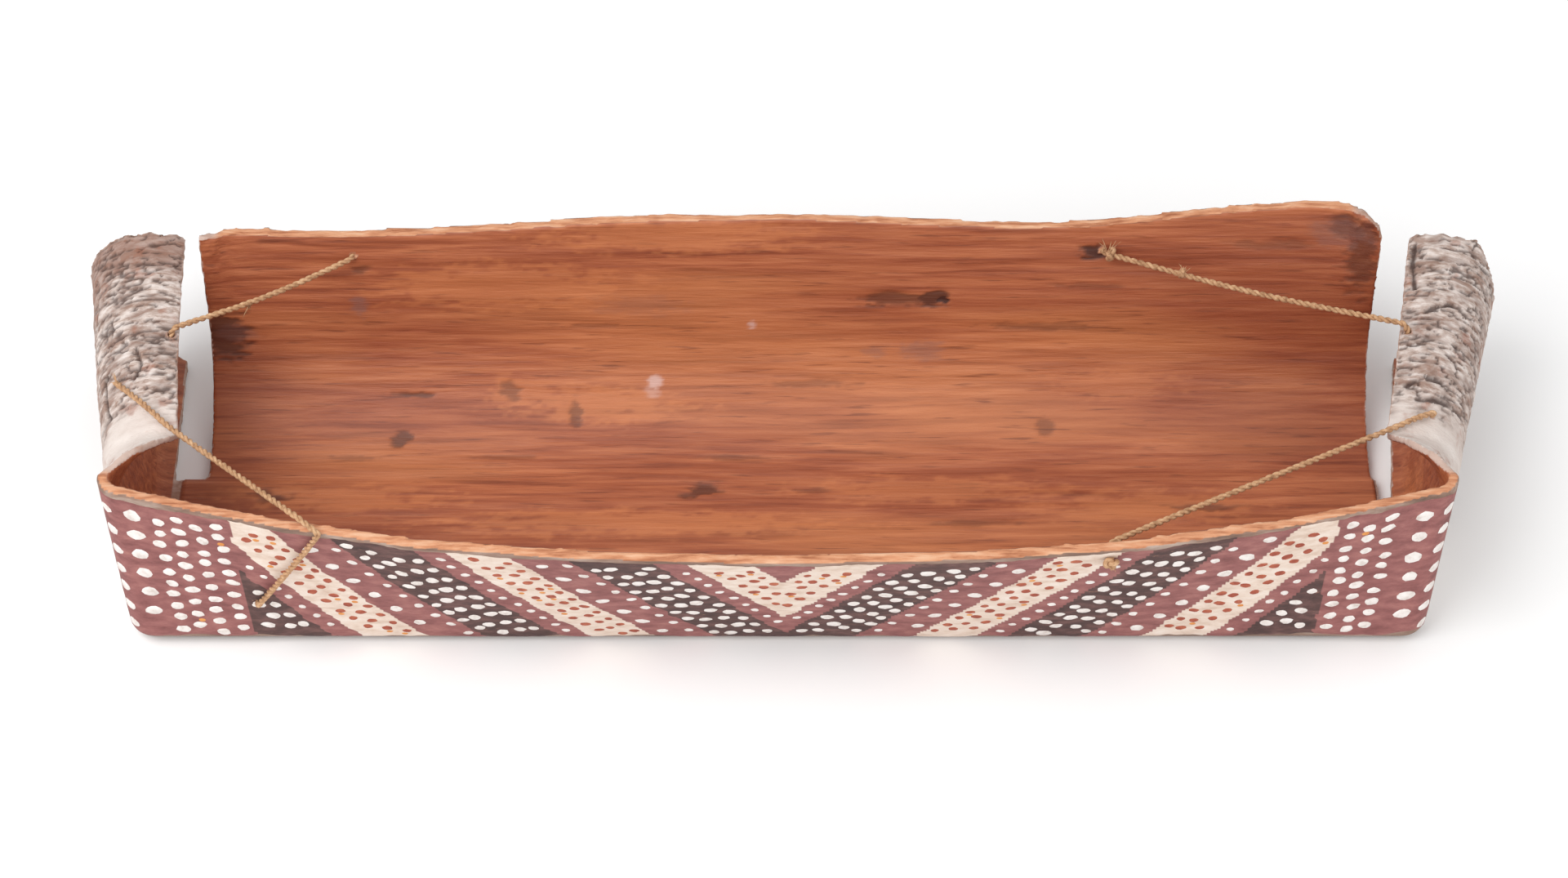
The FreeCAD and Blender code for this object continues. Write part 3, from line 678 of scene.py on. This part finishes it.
def dab(places, faces, spot, thick):
    """A dab of paint: a low dome, oval and a little uneven, set on the wall."""
    t, s, width, height, turn = spot
    base = len(places)
    middle, facing = on_wall(t, s)
    wobble = [random.uniform(0.88, 1.12) for _ in range(DAB_SIDES)]
    for ring_share, lift in DAB_RINGS:
        for number in range(DAB_SIDES):
            angle = 2 * math.pi * number / DAB_SIDES
            a = ring_share * wobble[number] * width * math.cos(angle)
            b = ring_share * wobble[number] * height * math.sin(angle)
            x = a * math.cos(turn) - b * math.sin(turn)
            y = a * math.sin(turn) + b * math.cos(turn)
            point, direction = on_wall(t + x, s - y)
            places.append(point + direction * thick * lift * MM)
    places.append(middle + facing * thick * MM)
    join_rings(faces, base, len(DAB_RINGS), DAB_SIDES)
    crown = base + len(DAB_RINGS) * DAB_SIDES
    last_ring = crown - DAB_SIDES
    for number in range(DAB_SIDES):
        faces.append((last_ring + number, last_ring + (number + 1) % DAB_SIDES, crown))


def join_rings(faces, base, rings, sides):
    """Faces between rings of points that follow each other."""
    for ring in range(rings - 1):
        low, high = base + ring * sides, base + (ring + 1) * sides
        for number in range(sides):
            after = (number + 1) % sides
            faces.append((low + number, low + after, high + after, high + number))


# Rows of dots in each kind of band: distance into the period, pitch and radius, in mm.
DOT_ROWS = {
    CREAM: [(19.5, 7.6, 2.3), (26.5, 7.4, 2.5), (34, 7.6, 2.4)],
    BROWN: [(60, 8.6, 2.9), (68, 8.8, 3.2), (76.5, 8.6, 3.0), (84, 8.4, 2.7)],
    GROUND: [(7.5, 12.5, 3.2), (48.5, 7.6, 2.0), (93, 9.5, 2.3)],
}
DOTS_TOP, DOTS_BOTTOM = 8, 90
CREAM_ORANGE, END_ORANGE = 0.18, 0.08              # how often an orange dab stands by a dot
COLUMN_START, COLUMN_PITCH, COLUMN_STOP = 5, 8.6, 9
COLUMN_TOP, COLUMN_STAGGER, COLUMN_BOTTOM = 9, 4.2, 92
CORNER_COLUMNS = ((-3, 3.9), (8, 3.4))             # past the corner's start, and radius


def jitter(size):
    return random.uniform(-size, size)


def band_dots(hand, dots):
    start = 0
    while start < END_ZONE + 60:
        for kind, rows in DOT_ROWS.items():
            for line, pitch, radius in rows:
                s = DOTS_TOP + random.uniform(0, pitch)
                while s < DOTS_BOTTOM:
                    t = start + line - SLANT * s
                    if 2 < t < END_ZONE - 2 and band_at(hand * t, s) == kind:
                        spot = (hand * t + jitter(0.7), s + jitter(0.7),
                                radius * random.uniform(0.85, 1.15),
                                radius * random.uniform(0.68, 0.95), jitter(0.5))
                        dots["rust" if kind == CREAM else "white"].append(spot)
                        if kind == CREAM and random.random() < CREAM_ORANGE:
                            dots["orange"].append((spot[0] + jitter(1.5), s + 3.4, 1.5, 1.1, 0))
                    s += pitch
        start += PERIOD


def end_dots(hand, dots):
    t = END_ZONE + COLUMN_START
    column = 0
    while t < CORNER[hand] - COLUMN_STOP:
        s = COLUMN_TOP + (column % 2) * COLUMN_STAGGER
        while s < COLUMN_BOTTOM:
            dots["white"].append((hand * t + jitter(0.9), s + jitter(0.9),
                                  random.uniform(2.7, 3.5), random.uniform(2.2, 2.9), jitter(0.6)))
            if random.random() < END_ORANGE:
                dots["orange"].append((hand * t + jitter(2), s + 4.4, 1.7, 1.3, 0))
            s += random.uniform(8.0, 9.2)
        t += COLUMN_PITCH
        column += 1


def corner_dots(hand, dots):
    for past, radius in CORNER_COLUMNS:
        s = 10 + random.uniform(0, 4)
        while s < DOTS_BOTTOM:
            spot = (hand * (CORNER[hand] + past) + jitter(0.7), s,
                    radius * random.uniform(0.9, 1.1), radius * random.uniform(0.8, 1.0),
                    jitter(0.4))
            dots["white"].append(spot)
            s += random.uniform(12.0, 13.5)


def all_dots():
    """Dabs by color: each is its place, half width, half height and turn."""
    dots = {"white": [], "rust": [], "orange": []}
    for hand in (-1, 1):
        band_dots(hand, dots)
        end_dots(hand, dots)
        corner_dots(hand, dots)
    return dots


def paint_material(name, low, middle, high):
    material, tree, shader = new_material(name)
    wear = grainy(tree, (240, 240, 240), 5, 0.65)
    color = ramp(tree, wear, [(0.30, low), (0.5, middle), (0.72, high)])
    tree.links.new(color, shader.inputs["Base Color"])
    shader.inputs["Roughness"].default_value = 0.85
    bumped(tree, shader, grainy(tree, (700, 700, 700), 4), 0.35, 0.0004)
    return material


def ground_material():
    material, tree, shader = new_material("paint_ground")
    wear = grainy(tree, (90, 200, 200), 5, 0.65)
    ground = ramp(tree, wear, [(0.30, (0.20, 0.066, 0.062)), (0.5, (0.29, 0.105, 0.098)),
                               (0.72, (0.40, 0.165, 0.145))])
    cream = ramp(tree, wear, [(0.30, (0.62, 0.46, 0.36)), (0.5, (0.76, 0.62, 0.52)),
                              (0.72, (0.84, 0.74, 0.66))])
    brown = ramp(tree, wear, [(0.30, (0.050, 0.024, 0.022)), (0.5, (0.095, 0.045, 0.040)),
                              (0.72, (0.19, 0.090, 0.080))])
    color = mixed(tree, mask(tree, attribute(tree, "cream"), 0.35, 0.65), ground, cream)
    color = mixed(tree, mask(tree, attribute(tree, "brown"), 0.35, 0.65), color, brown)
    bare = mask(tree, grainy(tree, (120, 420, 420), 6, 0.7), 0.64, 0.72)
    color = mixed(tree, times(tree, bare, 0.6), color, (0.42, 0.22, 0.15))
    tree.links.new(color, shader.inputs["Base Color"])
    shader.inputs["Roughness"].default_value = 0.82
    bumped(tree, shader, grainy(tree, (120, 900, 900), 5, 0.6), 0.5, 0.0005)
    return material


# Each color of dabs: worn, usual and bright tone, and thickness in mm.
PAINTS = {
    "white": ((0.62, 0.54, 0.49), (0.80, 0.74, 0.70), (0.88, 0.84, 0.81), 0.42),
    "rust": ((0.26, 0.050, 0.030), (0.38, 0.085, 0.045), (0.52, 0.16, 0.08), 0.36),
    "orange": ((0.58, 0.20, 0.05), (0.68, 0.27, 0.07), (0.76, 0.36, 0.12), 0.36),
}


def dot_mesh(name, spots, thick):
    places, faces = [], []
    for spot in spots:
        dab(places, faces, spot, thick)
    mesh = bpy.data.meshes.new(name)
    mesh.from_pydata(places, [], faces)
    shade_smooth(mesh)
    return mesh


def paint_wall():
    add_piece("paint_ground", paint_layer(), ground_material())
    dots = all_dots()
    for color, (low, middle, high, thick) in PAINTS.items():
        name = color + "_dots"
        mesh = dot_mesh(name, dots[color], thick)
        add_piece(name, mesh, paint_material(name, low, middle, high))


# The ties: two plies twisted round each route, with knots and loose fibres.
TWINE_RADIUS = 1.35 * MM
PLY_PITCH = 6.5 * MM
PLY_OFFSET, PLY_RADIUS, PLY_SWELL = 0.46, 0.56, 0.05     # shares of the twine's radius
SWELL_LENGTH = 2.3 * MM
TWIST_STEP = 0.55 * MM
PLY_SIDES = KNOT_SIDES = 8
FIBRE_SIDES = 5
KNOT_TWINE = 1.0 * MM
KNOT_STEPS = 72
FIBRE_PARTS = (0.0, 0.25, 0.5, 0.75, 1.0)
FIBRE_RADII = [0.22 * MM, 0.2 * MM, 0.17 * MM, 0.13 * MM, 0.06 * MM]


def route(points):
    """Points along the smooth line that a tie follows."""
    curve = bpy.data.curves.new("route", "CURVE")
    curve.dimensions = "3D"
    curve.resolution_u = 24
    spline = curve.splines.new("NURBS")
    spline.points.add(len(points) - 1)
    for target, point in zip(spline.points, points):
        target.co = (*point, 1)
    spline.order_u = 3
    spline.use_endpoint_u = True
    item = bpy.data.objects.new("route", curve)
    scene.collection.objects.link(item)
    return [vertex.co.copy() for vertex in evaluated_mesh(item).vertices]


def distances(line):
    """The distance travelled along a line at each of its points."""
    travel = [0.0]
    for first, last in zip(line, line[1:]):
        travel.append(travel[-1] + (last - first).length)
    return travel


def evenly(line, step):
    """The same line with points a step apart."""
    lengths = distances(line)
    count = max(2, round(lengths[-1] / step))
    result, number = [], 0
    for index in range(count + 1):
        wanted = lengths[-1] * index / count
        while number < len(line) - 2 and lengths[number + 1] < wanted:
            number += 1
        span = lengths[number + 1] - lengths[number] or 1
        result.append(line[number].lerp(line[number + 1], (wanted - lengths[number]) / span))
    return result


def frames(line):
    """A steady pair of cross directions at each point of a line."""
    result = []
    across = None
    for index, point in enumerate(line):
        along = (line[min(index + 1, len(line) - 1)] - line[max(index - 1, 0)]).normalized()
        if across is None:
            across = along.orthogonal().normalized()
        across = (across - along * across.dot(along)).normalized()
        result.append((point, across, along.cross(across)))
    return result


def tube(places, faces, line, radii, sides):
    """A tube with closed ends along a line."""
    base = len(places)
    for (point, first, second), radius in zip(frames(line), radii):
        for number in range(sides):
            angle = 2 * math.pi * number / sides
            places.append(point + (first * math.cos(angle) + second * math.sin(angle)) * radius)
    join_rings(faces, base, len(line), sides)
    faces.append(tuple(base + number for number in reversed(range(sides))))
    last = base + (len(line) - 1) * sides
    faces.append(tuple(last + number for number in range(sides)))


def twist(places, faces, line):
    """Two plies round a line."""
    line = evenly(line, TWIST_STEP)
    base = frames(line)
    travel = distances(line)
    for ply in (0, 1):
        strand, radii = [], []
        for (point, first, second), distance in zip(base, travel):
            angle = 2 * math.pi * distance / PLY_PITCH + math.pi * ply
            offset = first * math.cos(angle) + second * math.sin(angle)
            swell = PLY_SWELL * math.sin(distance / SWELL_LENGTH + ply)
            strand.append(point + offset * TWINE_RADIUS * PLY_OFFSET)
            radii.append(TWINE_RADIUS * (PLY_RADIUS + swell))
        tube(places, faces, strand, radii, PLY_SIDES)


def knot(places, faces, middle, along, scale):
    """A trefoil knot of the same twine, its axis along the tie."""
    turn = Vector(along).to_track_quat("Z", "Y").to_matrix()
    line = []
    for number in range(KNOT_STEPS + 1):
        angle = 2 * math.pi * number / KNOT_STEPS
        line.append(Vector(middle) + turn @ Vector((
            math.sin(angle) + 2 * math.sin(2 * angle),
            math.cos(angle) - 2 * math.cos(2 * angle),
            -1.1 * math.sin(3 * angle))) * scale)
    tube(places, faces, line, [KNOT_TWINE] * len(line), KNOT_SIDES)


def tuft(places, faces, middle, along, count, length):
    """Loose fibres from a knot."""
    along = Vector(along).normalized()
    for _ in range(count):
        way = (along + Vector([random.gauss(0, 0.55) for _ in range(3)])).normalized()
        bend = Vector([random.gauss(0, 0.5) for _ in range(3)])
        reach = length * random.uniform(0.5, 1.0)
        line = [Vector(middle) + way * reach * part + bend * reach * part * part * 0.35
                for part in FIBRE_PARTS]
        tube(places, faces, line, FIBRE_RADII, FIBRE_SIDES)


# Each tie's route in metres, with two points beside a tight bend; each knot's middle, axis and
# scale; and each tuft's root, direction, count of fibres and length.
TIES = {
    "left_back_tie": {
        "route": [(-0.1902, 0.0853, 0.0777), (-0.1902, 0.0776, 0.0802), (-0.1912, 0.0756, 0.0807),
                  (-0.2249, 0.0523, 0.0815), (-0.2584, 0.0292, 0.0889), (-0.2608, 0.0271, 0.0899),
                  (-0.2627, 0.0254, 0.0892), (-0.2645, 0.0253, 0.0809)],
        "knots": [((-0.1902, 0.0860, 0.0775), (0, 0.95, -0.31), 0.9),
                  ((-0.2646, 0.0253, 0.0803), (-0.2, 0, -0.98), 0.9)],
        "tufts": [((-0.232, 0.0475, 0.0828), (-0.6, -0.3, -0.7), 7, 0.006)],
    },
    "left_front_tie": {
        "route": [(-0.2790, 0.0008, 0.0765), (-0.2840, 0.0008, 0.0832), (-0.2842, -0.0001, 0.0848),
                  (-0.2779, -0.0071, 0.0872), (-0.2708, -0.0149, 0.0892),
                  (-0.2637, -0.0227, 0.0903), (-0.2566, -0.0306, 0.0905),
                  (-0.1996, -0.0858, 0.1021), (-0.1968, -0.0882, 0.1023),
                  (-0.1885, -0.0944, 0.1003), (-0.1879, -0.0949, 0.0980),
                  (-0.2208, -0.0815, 0.0354), (-0.2214, -0.0800, 0.0343),
                  (-0.2214, -0.0719, 0.0355)],
        "knots": [((-0.2787, 0.0008, 0.0760), (0.6, 0, -0.8), 0.9),
                  ((-0.2214, -0.0713, 0.0356), (0, 0.99, 0.13), 0.9)],
        "tufts": [((-0.2836, 0.0008, 0.0836), (-0.4, 0.6, 0.5), 6, 0.005)],
    },
    "right_back_tie": {
        "route": [(0.1402, 0.0862, 0.0807), (0.1402, 0.0786, 0.0831), (0.1413, 0.0768, 0.0836),
                  (0.2024, 0.0535, 0.0831), (0.2633, 0.0305, 0.0894), (0.2656, 0.0290, 0.0902),
                  (0.2675, 0.0270, 0.0894), (0.2689, 0.0268, 0.0812)],
        "knots": [((0.1402, 0.0870, 0.0804), (0, 0.95, -0.31), 0.9),
                  ((0.1436, 0.0757, 0.0838), (0.93, -0.36, 0), 0.9),
                  ((0.1740, 0.0645, 0.0838), (0.93, -0.36, 0.2), 0.55),
                  ((0.2690, 0.0268, 0.0806), (0.16, 0, -0.98), 0.9)],
        "tufts": [((0.1420, 0.0762, 0.0843), (0.2, -0.3, 0.9), 14, 0.007),
                  ((0.1745, 0.0643, 0.0842), (0.1, 0.2, 1), 8, 0.006)],
    },
    "right_front_tie": {
        "route": [(0.2699, -0.0191, 0.0790), (0.2736, -0.0191, 0.0864), (0.2730, -0.0197, 0.0878),
                  (0.2679, -0.0229, 0.0894), (0.2616, -0.0267, 0.0905), (0.2553, -0.0306, 0.0909),
                  (0.1342, -0.0898, 0.0893), (0.1325, -0.0917, 0.0890), (0.1325, -0.0998, 0.0867)],
        "knots": [((0.2696, -0.0191, 0.0785), (-0.45, 0, -0.9), 0.9),
                  ((0.1325, -0.1000, 0.0868), (0, -0.96, -0.27), 0.9)],
        "tufts": [((0.1325, -0.1005, 0.0866), (-0.2, -0.3, -0.9), 5, 0.004)],
    },
}


def twine_material():
    material, tree, shader = new_material("twine")
    tone = ramp(tree, grainy(tree, (420, 420, 420), 5, 0.65), [
        (0.30, (0.28, 0.14, 0.065)), (0.5, (0.50, 0.285, 0.150)), (0.72, (0.70, 0.46, 0.27))])
    tree.links.new(tone, shader.inputs["Base Color"])
    shader.inputs["Roughness"].default_value = 0.9
    bumped(tree, shader, grainy(tree, (2600, 2600, 2600), 4), 0.5, 0.0003)
    return material


def add_tie(name, tie, material):
    places, faces = [], []
    twist(places, faces, route(tie["route"]))
    for middle, along, scale in tie["knots"]:
        knot(places, faces, middle, along, scale * MM)
    for middle, along, count, length in tie["tufts"]:
        tuft(places, faces, middle, along, count, length)
    mesh = bpy.data.meshes.new(name + "_twine")
    mesh.from_pydata(places, [], faces)
    shade_smooth(mesh)
    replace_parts(add_piece(name + "_twine", mesh, material), name)


# Light, floor and surroundings.
def area_light(name, spot, size, power):
    light = bpy.data.lights.new(name, "AREA")
    light.shape = "SQUARE"
    light.size = size
    light.energy = power
    item = bpy.data.objects.new(name, light)
    scene.collection.objects.link(item)
    item.location = spot
    item.rotation_euler = Vector(spot).to_track_quat("Z", "Y").to_euler()


def surroundings():
    area_light("key", (-1.0, -0.7, 1.8), size=1.5, power=30)
    area_light("fill", (0.9, -1.3, 1.2), size=1.6, power=9)
    scene.world = bpy.data.worlds.new("world")
    scene.world.use_nodes = True
    sky = scene.world.node_tree.nodes["Background"].inputs
    sky["Color"].default_value = (1, 1, 1, 1)
    sky["Strength"].default_value = 0.68
    bpy.ops.mesh.primitive_plane_add(size=12)
    floor = bpy.context.object
    floor.name = "floor"
    material, _, shader = new_material("floor")
    shader.inputs["Base Color"].default_value = (0.93, 0.93, 0.93, 1)
    shader.inputs["Roughness"].default_value = 0.9
    floor.data.materials.append(material)


add_camera()
scene.view_settings.view_transform = "Standard"
bark_mesh, bark_tree = carved_bark(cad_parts["bark_sheet"].data)
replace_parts(add_piece("bark", bark_mesh, bark_material()), "bark_sheet")
random.seed(7)
paint_wall()
twine = twine_material()
for tie_name, tie_plan in TIES.items():
    add_tie(tie_name, tie_plan, twine)
surroundings()
